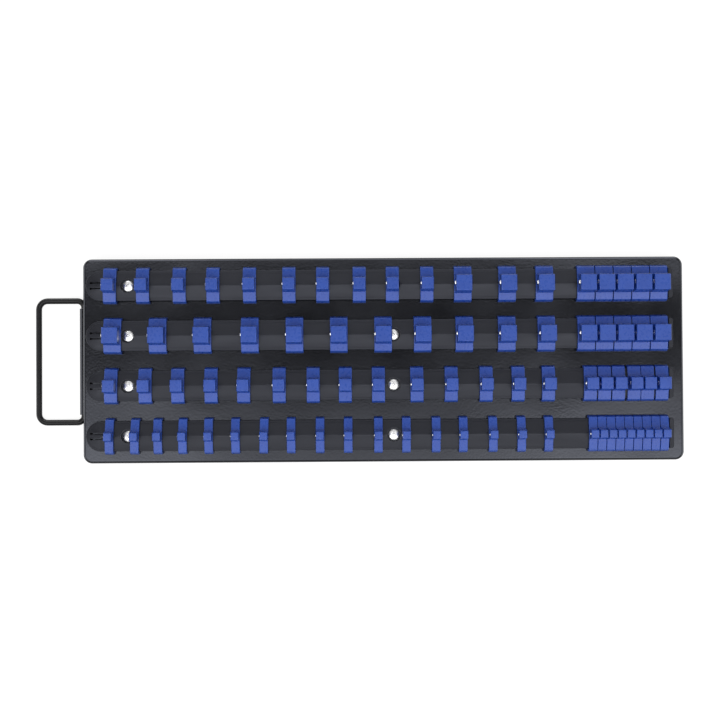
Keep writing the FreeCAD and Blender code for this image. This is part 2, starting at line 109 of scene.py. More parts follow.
# and what the two far sides add to it
SIDES = ((0.0, 0.0), (0.72, 0.0), (0.88, 1.0), (1.0, 1.0))
SIDES_FULL = 2.2  # how bright gloss sees its 1
LAMP_PLACE = Vector((0.0, -0.52, 1.12))
LAMP_WIDE = 1.8
LAMP_DEEP = 0.9
LAMP_POWER = 9.0
FLOOR_SIZE = 6.0
FLOOR_DROP = 0.05 * MM
FLOOR_COLOUR = 0.3
FLOOR_GLOW = 0.86  # added for the camera and gloss to what the table reflects

print(f"{len(CURVE) + len(ACROSS) + len(SIDES)} points in the room's curves")

# %% [markdown]
# ### Node helpers
# World and materials are graphs of nodes. These helpers add the few kinds that are needed and link them,
# so that each graph below reads like a formula.

# %% Node helpers
def feed(tree, source, socket):
    """Give a socket a number, or a link from another socket."""
    if isinstance(source, (int, float)):
        socket.default_value = source
    else:
        tree.links.new(source, socket)


def maths(tree, kind, *sources):
    """A Math node on sockets and numbers."""
    node = tree.nodes.new("ShaderNodeMath")
    node.operation = kind
    for at, source in enumerate(sources):
        feed(tree, source, node.inputs[at])
    return node.outputs[0]


def seen_directly(tree):
    """The light path, and 1 for rays from the camera, off gloss and through glass, or else 0."""
    rays = tree.nodes.new("ShaderNodeLightPath").outputs
    seen = maths(tree, "MAXIMUM", rays["Is Camera Ray"], rays["Is Glossy Ray"])
    return rays, maths(tree, "MAXIMUM", seen, rays["Is Transmission Ray"])


def background(tree, strength):
    """A white background shader, its strength a socket or a number."""
    shader = tree.nodes.new("ShaderNodeBackground")
    shader.inputs["Color"].default_value = (1, 1, 1, 1)
    feed(tree, strength, shader.inputs["Strength"])
    return shader.outputs[0]


def either(tree, factor, first, second):
    """The first shader where the factor is 0, the second where it is 1."""
    mix = tree.nodes.new("ShaderNodeMixShader")
    for at, source in enumerate((factor, first, second)):
        tree.links.new(source, mix.inputs[at])
    return mix.outputs[0]


def graph(tree, along, points):
    """A brightness read off a line through points, each a place and a height between 0 and 1."""
    ramp = tree.nodes.new("ShaderNodeValToRGB")
    stops = ramp.color_ramp.elements
    while len(stops) < len(points):
        stops.new(0.5)
    for stop, (spot, height) in zip(stops, points):
        stop.position = spot
        stop.color = (height, height, height, 1)
    tree.links.new(along, ramp.inputs[0])
    return ramp.outputs["Color"]


# %% [markdown]
# ### The room
# A ray's direction is split into its parts along X and Y, which are sines of its angles. The camera sees
# plain white, gloss sees the curves, and everything matt is lit by the same soft white from all sides.

# %% The room
world = bpy.data.worlds.new("white room")
world.use_nodes = True
bpy.context.scene.world = world
tree = world.node_tree
direction = tree.nodes.new("ShaderNodeSeparateXYZ")
tree.links.new(tree.nodes.new("ShaderNodeTexCoord").outputs["Generated"], direction.inputs[0])
lengthwise = maths(tree, "ADD", maths(tree, "MULTIPLY", direction.outputs["Y"], 0.5), 0.5)
sideways = maths(tree, "ABSOLUTE", direction.outputs["X"])
front_to_back = graph(tree, lengthwise, [((sine + 1) / 2, height) for sine, height in CURVE])
mirrored = maths(tree, "MULTIPLY", front_to_back, graph(tree, sideways, ACROSS))
mirrored = maths(tree, "MULTIPLY", mirrored, MIRRORED * ACROSS_FULL)
far_sides = maths(tree, "MULTIPLY", graph(tree, sideways, SIDES), SIDES_FULL)
mirrored = maths(tree, "ADD", mirrored, far_sides)
rays, seen = seen_directly(tree)
room = either(tree, seen, background(tree, ROOM_LIGHT), background(tree, mirrored))
whole = either(tree, rays["Is Camera Ray"], room, background(tree, BACKDROP))
tree.links.new(whole, tree.nodes["World Output"].inputs[0])
print(f"{world.name}: {len(tree.nodes)} nodes")

# %% [markdown]
# ### The lamp and the table
# Gloss doesn't see the lamp, because the curves already say what it mirrors. The table also glows for the
# camera and for gloss, so that it looks plain white and its shadows stay faint.

# %% The lamp and the table
bpy.ops.object.light_add(type="AREA", location=LAMP_PLACE)
lamp = bpy.context.object
lamp.name = "front lamp"
lamp.data.shape = "RECTANGLE"
lamp.data.size = LAMP_WIDE
lamp.data.size_y = LAMP_DEEP
lamp.data.energy = LAMP_POWER
lamp.visible_glossy = False
lamp.rotation_euler = (-LAMP_PLACE).to_track_quat("-Z", "Y").to_euler()

bpy.ops.mesh.primitive_plane_add(size=FLOOR_SIZE, location=(0, 0, -FLOOR_DROP))
floor = bpy.context.object
floor.name = "table"
table = bpy.data.materials.new("white table")
table.use_nodes = True
tree = table.node_tree
tree.nodes.remove(tree.nodes["Principled BSDF"])
matt = tree.nodes.new("ShaderNodeBsdfDiffuse")
matt.inputs["Color"].default_value = (FLOOR_COLOUR,) * 3 + (1,)
glow = tree.nodes.new("ShaderNodeEmission")
rays, seen = seen_directly(tree)
tree.links.new(maths(tree, "MULTIPLY", seen, FLOOR_GLOW), glow.inputs["Strength"])
both = tree.nodes.new("ShaderNodeAddShader")
tree.links.new(matt.outputs[0], both.inputs[0])
tree.links.new(glow.outputs[0], both.inputs[1])
tree.links.new(both.outputs[0], tree.nodes["Material Output"].inputs["Surface"])
floor.data.materials.append(table)
bpy.context.scene.view_settings.view_transform = "Standard"
print(f"lamp {LAMP_PLACE.length:.2f} m from the tray's middle")

# %% [markdown]
# ## Finishes
# Each finish is a Principled shader. It starts from a plain colour and roughness, noises then vary one or
# both a little, and a fine noise tilts the surface as the real coating or mould texture does. The noises
# read Object coordinates, which stay with the piece when it moves, and their scales are counts per metre.

# %% Helpers for finishes
BLUISH = (0.82, 0.86, 1.0, 1.0)  # what black gloss makes of white light
CLOUD_LOW = 0.3
CLOUD_HIGH = 0.7


def finish(name, colour, roughness, **sockets):
    """A material with a Principled shader, and its node tree and shader."""
    material = bpy.data.materials.new(name)
    material.use_nodes = True
    shader = material.node_tree.nodes["Principled BSDF"]
    shader.inputs["Base Color"].default_value = (*colour, 1)
    shader.inputs["Roughness"].default_value = roughness
    for socket, value in sockets.items():
        shader.inputs[socket.replace("_", " ")].default_value = value
    return material, material.node_tree, shader


def noise(tree, per_metre, detail=2.0, stretch=None):
    """A noise in the piece's own Object coordinates, from about 0.2 to 0.8."""
    place = tree.nodes.new("ShaderNodeTexCoord")
    cloud = tree.nodes.new("ShaderNodeTexNoise")
    cloud.inputs["Scale"].default_value = per_metre
    cloud.inputs["Detail"].default_value = detail
    source = place.outputs["Object"]
    if stretch:
        mapping = tree.nodes.new("ShaderNodeMapping")
        mapping.inputs["Scale"].default_value = stretch
        tree.links.new(source, mapping.inputs["Vector"])
        source = mapping.outputs["Vector"]
    tree.links.new(source, cloud.inputs["Vector"])
    return cloud.outputs["Fac"]


def between(tree, cloud, low, high):
    """A number that goes from low to high as a noise goes over most of its range."""
    scale = tree.nodes.new("ShaderNodeMapRange")
    settings = {"From Min": CLOUD_LOW, "From Max": CLOUD_HIGH, "To Min": low, "To Max": high}
    for socket, value in settings.items():
        scale.inputs[socket].default_value = value
    tree.links.new(cloud, scale.inputs["Value"])
    return scale.outputs["Result"]


def vary_roughness(tree, shader, cloud, low, high):
    """Let the roughness go from low to high with a noise."""
    tree.links.new(between(tree, cloud, low, high), shader.inputs["Roughness"])


def vary_colour(tree, shader, cloud, first, second):
    """Let the colour go from the first to the second with a noise."""
    mix = tree.nodes.new("ShaderNodeMix")
    mix.data_type = "RGBA"
    mix.inputs["A"].default_value = (*first, 1)
    mix.inputs["B"].default_value = (*second, 1)
    tree.links.new(between(tree, cloud, 0, 1), mix.inputs["Factor"])
    tree.links.new(mix.outputs["Result"], shader.inputs["Base Color"])


def bumps(tree, shader, *layers):
    """Tilt the surface by noises, each with its depth in metres."""
    normal = None
    for height, depth in layers:
        bump = tree.nodes.new("ShaderNodeBump")
        bump.inputs["Distance"].default_value = depth
        tree.links.new(height, bump.inputs["Height"])
        if normal:
            tree.links.new(normal, bump.inputs["Normal"])
        normal = bump.outputs["Normal"]
    tree.links.new(normal, shader.inputs["Normal"])


# %% [markdown]
# ### Powder coat
# The tray is black powder coat over thin sheet. The powder melts into a skin with a fine orange peel,
# and the sheet under it is never quite flat, so reflections in the plate break up into soft patches.

# %% Powder coat
BLACK = (0.004, 0.004, 0.005)
WAVES_DEEP = 0.5 * MM
PEEL_DEEP = 0.03 * MM

powder, tree, shader = finish("powder coat", BLACK, 0.11, Specular_IOR_Level=0.57, Specular_Tint=BLUISH)
vary_roughness(tree, shader, noise(tree, per_metre=22, detail=4), 0.09, 0.14)
vary_colour(tree, shader, noise(tree, per_metre=35, detail=5), (0.003, 0.003, 0.004), (0.006, 0.006, 0.007))
waves = noise(tree, per_metre=16, detail=1)
peel = noise(tree, per_metre=700)
bumps(tree, shader, (waves, WAVES_DEEP), (peel, PEEL_DEEP))
print(f"{powder.name}: {len(tree.nodes)} nodes")

# %% [markdown]
# ### Rail plastic
# The rails are black polypropylene from a mould with a fine matt texture. The long draw of the mould
# leaves the faintest streaks along the rail.

# %% Rail plastic
ALONG_RAIL = (0.12, 1, 1)
TEXTURE_DEEP = 0.02 * MM
STREAK_DEEP = 0.03 * MM

rail_plastic, tree, shader = finish("rail plastic", (0.006, 0.006, 0.008), 0.4, Specular_IOR_Level=0.42,
                                    Specular_Tint=BLUISH)
streaks = noise(tree, per_metre=160, detail=3, stretch=ALONG_RAIL)
vary_roughness(tree, shader, streaks, 0.34, 0.46)
bumps(tree, shader, (noise(tree, per_metre=2600), TEXTURE_DEEP), (streaks, STREAK_DEEP))
print(f"{rail_plastic.name}: {len(tree.nodes)} nodes")

# %% [markdown]
# ### Clip plastic
# The clips are a deep blue plastic with a soft shine. A very fine grain keeps the mirror of the white
# room from looking like lacquer.

# %% Clip plastic
GRAIN_DEEP = 0.004 * MM

clip_plastic, tree, shader = finish("clip plastic", (0.022, 0.073, 0.38), 0.28, Specular_IOR_Level=0.46)
vary_colour(tree, shader, noise(tree, per_metre=90, detail=3), (0.019, 0.067, 0.36), (0.024, 0.080, 0.41))
vary_roughness(tree, shader, noise(tree, per_metre=400, detail=3), 0.26, 0.30)
bumps(tree, shader, (noise(tree, per_metre=1800), GRAIN_DEEP))
print(f"{clip_plastic.name}: {len(tree.nodes)} nodes")

# %% [markdown]
# ### Metals and the handle's coat
# The rivets are tumbled aluminium, bright with fine scuffs. The balls are polished steel. The handle is
# thick wire in the same black as the tray, with a duller coat.

# %% Metals and the handle's coat
SCUFF_DEEP = 0.02 * MM
COAT_DEEP = 0.02 * MM

rivet_metal, tree, shader = finish("rivet metal", (0.86, 0.86, 0.87), 0.25, Metallic=1.0)
scuffs = noise(tree, per_metre=1500, detail=4)
vary_roughness(tree, shader, scuffs, 0.2, 0.32)
bumps(tree, shader, (scuffs, SCUFF_DEEP))

ball_steel, tree, shader = finish("ball steel", (0.78, 0.78, 0.80), 0.08, Metallic=1.0)
vary_roughness(tree, shader, noise(tree, per_metre=900), 0.05, 0.14)

handle_coat, tree, shader = finish("handle coat", BLACK, 0.3, Specular_IOR_Level=0.25)
vary_roughness(tree, shader, noise(tree, per_metre=60, detail=3), 0.25, 0.38)
bumps(tree, shader, (noise(tree, per_metre=900), COAT_DEEP))
print(f"{len(bpy.data.materials)} materials")

# %% [markdown]
# ## Modelling helpers
# New pieces are made with the operators that a modeller clicks: an outline is pulled out point by
# point, filled and extruded, and solids are joined and cut with the Boolean modifier. Operators act on
# whatever is selected, so each helper selects exactly what it needs first.

# %% Selecting and pulling
NEAR = 0.01 * MM
SMOOTH_BELOW = math.radians(32)
SHARP = math.radians(50)
PARALLEL = 0.999
Y_AXIS = (0, 1, 0)
Z_AXIS = (0, 0, 1)


def select_only(*pieces):
    """Select these pieces and no others. The first is the active one."""
    bpy.ops.object.select_all(action="DESELECT")
    for piece in pieces:
        piece.select_set(True)
    bpy.context.view_layer.objects.active = pieces[0]


def edit(piece, kind="VERT"):
    """Open a piece in edit mode, picking vertices, edges or faces."""
    select_only(piece)
    bpy.ops.object.mode_set(mode="EDIT")
    bpy.ops.mesh.select_mode(type=kind)


def pick(piece, kind, test):
    """In edit mode, select the vertices, edges or faces that pass a test, and nothing else."""
    bpy.ops.mesh.select_mode(type=kind)
    bpy.ops.mesh.select_all(action="DESELECT")
    shape = bmesh.from_edit_mesh(piece.data)
    parts = {"VERT": shape.verts, "EDGE": shape.edges, "FACE": shape.faces}[kind]
    for part in parts:
        if test(part):
            part.select_set(True)
    bmesh.update_edit_mesh(piece.data)
    return sum(part.select for part in parts)


def done():
    """Leave edit mode."""
    bpy.ops.object.mode_set(mode="OBJECT")


def pull(step):
    """Extrude what is selected by a step."""
    bpy.ops.mesh.extrude_region_move(TRANSFORM_OT_translate={"value": Vector(step)})


def spin(steps, angle, centre, axis):
    """Spin what is selected about an axis, right-handed. The operator turns the other way round."""
    bpy.ops.mesh.spin(steps=steps, angle=-angle, center=centre, axis=axis)


# %% [markdown]
# ### Outlines
# An outline starts as one vertex and is pulled from point to point. Filled and pulled once more it is a
# prism, and spun about an upright line it is a round solid.

# %% Outlines
def start_outline(name, point):
    """A new piece in edit mode, with one vertex."""
    bpy.ops.object.select_all(action="DESELECT")
    bpy.ops.mesh.primitive_plane_add(size=MM, location=point)
    piece = bpy.context.object
    piece.name = piece.data.name = name
    bpy.ops.object.transform_apply()
    edit(piece)
    bpy.ops.mesh.select_all(action="SELECT")
    bpy.ops.mesh.merge(type="CENTER")
    return piece


def draw(name, points):
    """A new piece in edit mode: an open outline through these points."""
    points = [Vector(point) for point in points]
    piece = start_outline(name, points[0])
    for here, there in zip(points, points[1:]):
        pull(there - here)
    return piece


def close_and_fill(piece):
    """Join the outline's last vertex to its first, and fill it with one face."""
    bpy.ops.mesh.select_all(action="DESELECT")
    shape = bmesh.from_edit_mesh(piece.data)
    for vert in shape.verts:
        if len(vert.link_edges) < 2:
            vert.select_set(True)
    bmesh.update_edit_mesh(piece.data)
    bpy.ops.mesh.edge_face_add()
    bpy.ops.mesh.select_all(action="SELECT")
    bpy.ops.mesh.edge_face_add()


def outward():
    """Turn all faces of the open piece outwards."""
    bpy.ops.mesh.select_all(action="SELECT")
    bpy.ops.mesh.normals_make_consistent(inside=False)


def weld():
    """Merge the open piece's double vertices, turn its faces outwards and leave edit mode."""
    bpy.ops.mesh.select_all(action="SELECT")
    bpy.ops.mesh.remove_doubles(threshold=NEAR)
    outward()
    done()


def revolve(steps, centre):
    """Spin the open half section once round an upright line, into a closed solid."""
    bpy.ops.mesh.select_all(action="SELECT")
    spin(steps, 2 * math.pi, centre, Z_AXIS)
    weld()


def prism(name, points, step):
    """A solid: an outline through the points, filled and pulled along a step."""
    piece = draw(name, points)
    close_and_fill(piece)
    pull(step)
    outward()
    done()
    return piece


# %% [markdown]
# ### Boxes, rods and modifiers
# Boxes and rods are tools for joining and cutting. A modifier is applied at once, so that the next edit
# works on its result.

# %% Boxes, rods and modifiers
def block(name, low, high):
    """A box between two corners, with its place in its mesh."""
    low, high = Vector(low), Vector(high)
    bpy.ops.object.select_all(action="DESELECT")
    bpy.ops.mesh.primitive_cube_add(size=1, location=(low + high) / 2, scale=high - low)
    bpy.ops.object.transform_apply()
    piece = bpy.context.object
    piece.name = piece.data.name = name
    return piece


def rod(name, radius, base, height, sides=48, turn=(0, 0, 0)):
    """A cylinder that stands on its base, or is turned about it."""
    bpy.ops.object.select_all(action="DESELECT")
    bpy.ops.mesh.primitive_cylinder_add(vertices=sides, radius=radius, depth=height,
                                        location=(0, 0, height / 2))
    piece = bpy.context.object
    piece.name = piece.data.name = name
    bpy.ops.object.transform_apply()
    piece.rotation_euler = turn
    piece.location = base
    bpy.ops.object.transform_apply()
    return piece


def apply_modifier(piece, kind, **settings):
    """Add a modifier and apply it."""
    modifier = piece.modifiers.new(kind.lower(), kind)
    for setting, value in settings.items():
        setattr(modifier, setting, value)
    select_only(piece)
    bpy.ops.object.modifier_apply(modifier=modifier.name)
    return piece


def combine(piece, tool, how):
    """Join, cut or cross a piece with a tool, which is used up."""
    apply_modifier(piece, "BOOLEAN", object=tool, operation=how, solver="EXACT")
    bpy.data.objects.remove(tool)
    return piece


def bevel(piece, test, width, segments=2):
    """Round the edges that pass a test."""
    edit(piece, "EDGE")
    if pick(piece, "EDGE", test):
        bpy.ops.mesh.bevel(offset=width, segments=segments, affect="EDGES", clamp_overlap=True)
    outward()
    done()
    return piece


def is_sharp(edge, angle=SHARP):
    """True if an edge's faces meet at more than an angle."""
    return edge.is_manifold and edge.calc_face_angle() > angle


def runs_along(edge, axis):
    """True if an edge is parallel to an axis, 0 for X, 1 for Y and 2 for Z."""
    way = edge.verts[0].co - edge.verts[1].co
    return abs(way[axis]) > PARALLEL * way.length


def middle(part):
    """The middle of an edge."""
    return (part.verts[0].co + part.verts[1].co) / 2


# %% [markdown]
# ### Finishing a piece
# A finished piece has its place in its mesh, smooth shading on its roundings, one material, and a body
# of the frame to ride on.

# %% Finishing a piece
def smooth(piece):
    """Smooth the gentle edges, and let large flat faces keep their own direction."""
    select_only(piece)
    bpy.ops.object.shade_smooth_by_angle(angle=SMOOTH_BELOW)
    return apply_modifier(piece, "WEIGHTED_NORMAL", keep_sharp=True)


def place(piece, matrix):
    """Move a piece by a matrix, in its mesh."""
    piece.data.transform(matrix)
    piece.data.update()
    return piece


def copy_of(piece, name):
    """A copy with its own mesh."""
    twin = piece.copy()
    twin.data = piece.data.copy()
    twin.name = twin.data.name = name
    bpy.context.scene.collection.objects.link(twin)
    return twin


def settle(piece, material, body, slot, *nodes):
    """Give a piece its finish, hang it on its body and hide the nodes that it stands for. The slot is not
    used.
    """
    piece.data.materials.clear()
    piece.data.materials.append(material)
    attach(piece, body)
    if nodes:
        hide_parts(*nodes)
    return piece


# %% [markdown]
# ## Places read from the frame
# The construction model fixes every place: the tray's box, the rails' boxes and the clips' posts. Only
# sizes that a box can't tell are written here, in millimetres.

# %% Places from the frame
tray_low, tray_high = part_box("tray")
PLATE = tray_high.z
rails = sorted(name for name in frame["nodes"] if name.startswith("rail_row"))
rail_low, rail_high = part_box(rails[0])
RAIL_LENGTH = rail_high.x - rail_low.x
RAIL_HALF = (rail_high.y - rail_low.y) / 2
row_y = {name: sum((corner.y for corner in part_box(name)), 0.0) / 2 for name in rails}
body_of = {name: node["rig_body"] for name, node in frame["nodes"].items()}
print(f"plate {PLATE / MM:.1f} mm up, rails {RAIL_LENGTH / MM:.1f} mm long")

# %% [markdown]
# ## The tray
# The real tray is one sheet: blanked, folded down all round, and curled round the handle's wire on the
# left. A box with rounded corners gives the outside of the sheet. Its underside is opened, the left
# flange's edge is spun round the wire to make the curl, and Solidify then gives the wall its 1 mm.

# %% The tray
SHEET = 1.0 * MM
CORNER = 7.0 * MM
BEND = 2.5 * MM
WIRE_RADIUS = 2.4 * MM
CURL_RADIUS = WIRE_RADIUS + 0.1 * MM
CURL_LENGTH = 86.4 * MM
CURL_GAP = 0.6 * MM
HINGE_UP = 3.6 * MM
CURL_STEPS = 22
CORNER_STEPS = 10
FOLD_STEPS = 5
DOWNWARD = -0.9  # a face looks down if its normal's Z is below this

handle_low, handle_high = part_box("bail_handle")
# the curl stands out to the left of the flange
flange_x = tray_low.x + 2 * CURL_RADIUS + SHEET
hinge = Vector((flange_x - CURL_RADIUS, 0, HINGE_UP))

tray = block("tray_pan", (flange_x, tray_low.y, 0), tray_high)
bevel(tray, lambda e: runs_along(e, 2), CORNER, CORNER_STEPS)
bevel(tray, lambda e: min(v.co.z for v in e.verts) > PLATE - NEAR, BEND, FOLD_STEPS)
edit(tray)
pick(tray, "FACE", lambda f: f.normal.z < DOWNWARD)
bpy.ops.mesh.delete(type="FACE")


def on_flange(face):
    """True for the flat left flange."""
    return all(abs(v.co.x - flange_x) < NEAR for v in face.verts)


half_curl = CURL_LENGTH / 2
for cut_at, cut_way in (((0, half_curl, 0), Y_AXIS), ((0, -half_curl, 0), Y_AXIS), (hinge, Z_AXIS)):
    pick(tray, "FACE", on_flange)
    bpy.ops.mesh.bisect(plane_co=cut_at, plane_no=cut_way)
pick(tray, "FACE", lambda f: on_flange(f) and abs(f.calc_center_median().y) < half_curl
     and f.calc_center_median().z < HINGE_UP)
bpy.ops.mesh.delete(type="FACE")
pick(tray, "EDGE", lambda e: abs(middle(e).y) < half_curl - NEAR and abs(middle(e).x - flange_x) < NEAR
     and all(abs(v.co.z - HINGE_UP) < NEAR for v in e.verts))
curl_turn = 2 * math.pi - math.acos(1 - CURL_GAP / CURL_RADIUS) - math.asin(SHEET / CURL_RADIUS / 2)
spin(CURL_STEPS, curl_turn, hinge, Y_AXIS)
weld()
apply_modifier(tray, "SOLIDIFY", thickness=SHEET, offset=-1, use_even_offset=True)
smooth(tray)
settle(tray, powder, "tray", "powder_coat", "tray")
print(f"tray: {len(tray.data.polygons)} faces")

# %% [markdown]
# ## The handle
# The handle is one wire. A circle is pulled along the straight runs and spun round the bends, in the
# order in which a wire bender makes them: end in the curl, turn, leg, corner, grip, and back again.

# %% The handle
GRIP_IN = 1.1 * MM
GRIP_BEND = 7.0 * MM
HINGE_BEND = 5.5 * MM
HINGE_INSERT = 22.0 * MM
WIRE_SIDES = 24
BEND_STEPS = 9
END_BEVEL = 0.5 * MM
END_STEPS = 3

leg_y = handle_high.y - WIRE_RADIUS
grip_x = handle_low.x + WIRE_RADIUS + GRIP_IN
tip_y = leg_y - HINGE_BEND - HINGE_INSERT
bpy.ops.object.select_all(action="DESELECT")
bpy.ops.mesh.primitive_circle_add(vertices=WIRE_SIDES, radius=WIRE_RADIUS, fill_type="NGON",
                                  location=(hinge.x, tip_y, hinge.z), rotation=(math.pi / 2, 0, 0))
handle = bpy.context.object
handle.name = handle.data.name = "bail_handle_wire"
bpy.ops.object.transform_apply()
edit(handle, "FACE")
bpy.ops.mesh.select_all(action="SELECT")


def bend(x, y):
    """A quarter turn of the wire about an upright line, to its left as it goes."""
    spin(BEND_STEPS, math.pi / 2, (x, y, hinge.z), Z_AXIS)


pull((0, HINGE_INSERT, 0))
bend(hinge.x - HINGE_BEND, leg_y - HINGE_BEND)
pull((grip_x + GRIP_BEND - hinge.x + HINGE_BEND, 0, 0))
bend(grip_x + GRIP_BEND, leg_y - GRIP_BEND)
pull((0, -2 * (leg_y - GRIP_BEND), 0))
bend(grip_x + GRIP_BEND, GRIP_BEND - leg_y)
pull((hinge.x - HINGE_BEND - grip_x - GRIP_BEND, 0, 0))
bend(hinge.x - HINGE_BEND, HINGE_BEND - leg_y)
pull((0, HINGE_INSERT, 0))
weld()
bevel(handle, is_sharp, END_BEVEL, END_STEPS)
smooth(handle)
settle(handle, handle_coat, "bail_handle", "handle_coat", "bail_handle")
print(f"handle: {len(handle.data.polygons)} faces")

# %% [markdown]
# ## The rails
# A rail is a moulding with a low roof that the clips ride on. The roof steps down to a narrow band along
# its edge, and the clips' hooks reach under it. The left end is round, with a snap tongue that keeps the
# clips on, and a wall stops them at the right. One rail is modelled at the origin and copied four times.
# Half of its section is spun into the round end, the whole section is pulled along the run, and the holes
# are cut with Boolean tools.

# %% The rail's solids
FOOT_HALF = 8.0 * MM
FOOT_UP = 3.6 * MM
LEDGE_UP = 6.2 * MM
ROOF_HALF = 9.0 * MM
RIDGE_UP = 8.2 * MM
RAIL_EDGE = 0.4 * MM
STOP_LENGTH = 3.5 * MM
STOP_UP = 9.6 * MM
STOP_CORNER = 2.0 * MM
STOP_STEPS = 5
BURIED = 0.4 * MM  # how far a joined solid reaches into the other
STOP_LAP = 1.0 * MM
ROUND_STEPS = 64
BAND = 1.9 * MM
BAND_STEP = 0.3 * MM
EAVE = 0.3  # where the rounded eave's middle point lies, as a share of RAIL_EDGE

slope = (RIDGE_UP - LEDGE_UP) / ROOF_HALF
band_in = RAIL_HALF - BAND
band_up = RIDGE_UP - band_in * slope
rim_in = RAIL_HALF - RAIL_EDGE
rim_up = RIDGE_UP - rim_in * slope - BAND_STEP
half_section = [
    (0, RIDGE_UP), (band_in, band_up), (band_in + BAND_STEP / 2, band_up - BAND_STEP), (rim_in, rim_up),
    (RAIL_HALF - RAIL_EDGE * EAVE, rim_up - RAIL_EDGE * EAVE), (RAIL_HALF, rim_up - RAIL_EDGE),
    (RAIL_HALF, FOOT_UP), (FOOT_HALF, FOOT_UP), (FOOT_HALF, 0), (0, 0),
]
rail = draw("rail", [(RAIL_HALF + out, 0, up) for out, up in half_section])
revolve(ROUND_STEPS, (RAIL_HALF, 0, 0))
foot_end = RAIL_LENGTH - STOP_CORNER - BURIED
ring = half_section[:-1] + [(-out, up) for out, up in reversed(half_section[1:-1])]
run = prism("run", [(RAIL_HALF, out, up) for out, up in ring], (foot_end - RAIL_HALF, 0, 0))
combine(rail, run, "UNION")

stop = block("stop", (RAIL_LENGTH - STOP_LENGTH, -RAIL_HALF, FOOT_UP), (RAIL_LENGTH, RAIL_HALF, STOP_UP))
bevel(stop, lambda e: runs_along(e, 2) and middle(e).x > RAIL_LENGTH - NEAR, STOP_CORNER, STOP_STEPS)
bevel(stop, lambda e: is_sharp(e) and middle(e).z > STOP_UP - NEAR, RAIL_EDGE)
combine(rail, stop, "UNION")
stop_foot = block("stop_foot", (foot_end - STOP_LAP, -FOOT_HALF, 0),
                  (RAIL_LENGTH, FOOT_HALF, FOOT_UP + BURIED))
combine(rail, stop_foot, "UNION")
print(f"rail: {len(rail.data.polygons)} faces before its holes")

# %% [markdown]
# The snap tongue is cut free by a U of two slits with a round hole at each root, and a hollow under it
# lets it bend. Its raised bump is the clips' left stop. The rivets sit in wide counterbores.

# %% The tongue and the counterbores
TONGUE_HALF = 1.75 * MM
TONGUE_ROOT = 4.2 * MM
TONGUE_END = 13.8 * MM
TONGUE_THICK = 3.0 * MM
SLIT = 1.0 * MM
RELIEF_RADIUS = 0.85 * MM
BUMP_LENGTH = 2.0 * MM
BUMP_UP = 1.6 * MM
RIVET_FIRST = 33.6 * MM
RIVET_PITCH = 211.8 * MM
RIVETS = 3
BORE_RADIUS = 5.6 * MM
BORE_FLOOR = 4.4 * MM
BORE_SIDES = 40
RELIEF_SIDES = 16
RIM_EDGE = 0.3 * MM
RIM_NEAR = 0.1 * MM
PAST = 1.0 * MM  # how far a cutting tool reaches past the piece
TOOL_HEIGHT = 12.0 * MM

slit_side = TONGUE_HALF + SLIT
slit_end = TONGUE_END + SLIT
hollow = block("hollow", (TONGUE_ROOT - 2 * RELIEF_RADIUS, -slit_side - RELIEF_RADIUS, -PAST),
               (slit_end + 2 * RELIEF_RADIUS, slit_side + RELIEF_RADIUS, RIDGE_UP - TONGUE_THICK))
combine(rail, hollow, "DIFFERENCE")
bump_root = RIDGE_UP - TONGUE_THICK / 2
bump_top = RIDGE_UP + BUMP_UP
bump_end = TONGUE_END + BURIED
bump_outline = [(TONGUE_END - BUMP_LENGTH, bump_root), (bump_end, bump_root), (bump_end, bump_top),
                (TONGUE_END - BUMP_LENGTH / 3, bump_top)]
bump = prism("bump", [(x, -TONGUE_HALF, up) for x, up in bump_outline], (0, 2 * TONGUE_HALF, 0))
combine(rail, bump, "UNION")
slit_outline = [
    (TONGUE_ROOT, slit_side), (slit_end, slit_side), (slit_end, -slit_side), (TONGUE_ROOT, -slit_side),
    (TONGUE_ROOT, -TONGUE_HALF), (TONGUE_END, -TONGUE_HALF), (TONGUE_END, TONGUE_HALF),
    (TONGUE_ROOT, TONGUE_HALF),
]
slits = prism("slits", [(x, y, -PAST) for x, y in slit_outline], (0, 0, bump_top + 2 * PAST))
combine(rail, slits, "DIFFERENCE")
for side in (-1, 1):
    root = (TONGUE_ROOT, side * (TONGUE_HALF + SLIT / 2), -PAST)
    combine(rail, rod("relief", RELIEF_RADIUS, root, TOOL_HEIGHT, RELIEF_SIDES), "DIFFERENCE")
rivet_places = [RIVET_FIRST + number * RIVET_PITCH for number in range(RIVETS)]
for x in rivet_places:
    combine(rail, rod("bore", BORE_RADIUS, (x, 0, BORE_FLOOR), TOOL_HEIGHT, BORE_SIDES), "DIFFERENCE")


def on_rim(edge):
    """True for the upper rim of a counterbore."""
    at = middle(edge)
    reach = min(math.hypot(at.x - x, at.y) for x in rivet_places)
    return at.z > LEDGE_UP and abs(reach - BORE_RADIUS) < RIM_NEAR and not runs_along(edge, 2)


bevel(rail, on_rim, RIM_EDGE)
smooth(rail)
for name in rails:
    twin = place(copy_of(rail, f"{name}_moulding"), Matrix.Translation((rail_low.x, row_y[name], PLATE)))
    settle(twin, rail_plastic, body_of[name], "rail_plastic", name)
bpy.data.objects.remove(rail)
print(f"rails: {len(twin.data.polygons)} faces each")

# %% [markdown]
# ## The rivets
# Blind rivets hold the rails. Half of a rivet's section is drawn from the middle outwards: the broken
# mandrel in its hole, the domed head, the shank, and the tail that spread under the plate. It is then
# spun once round.

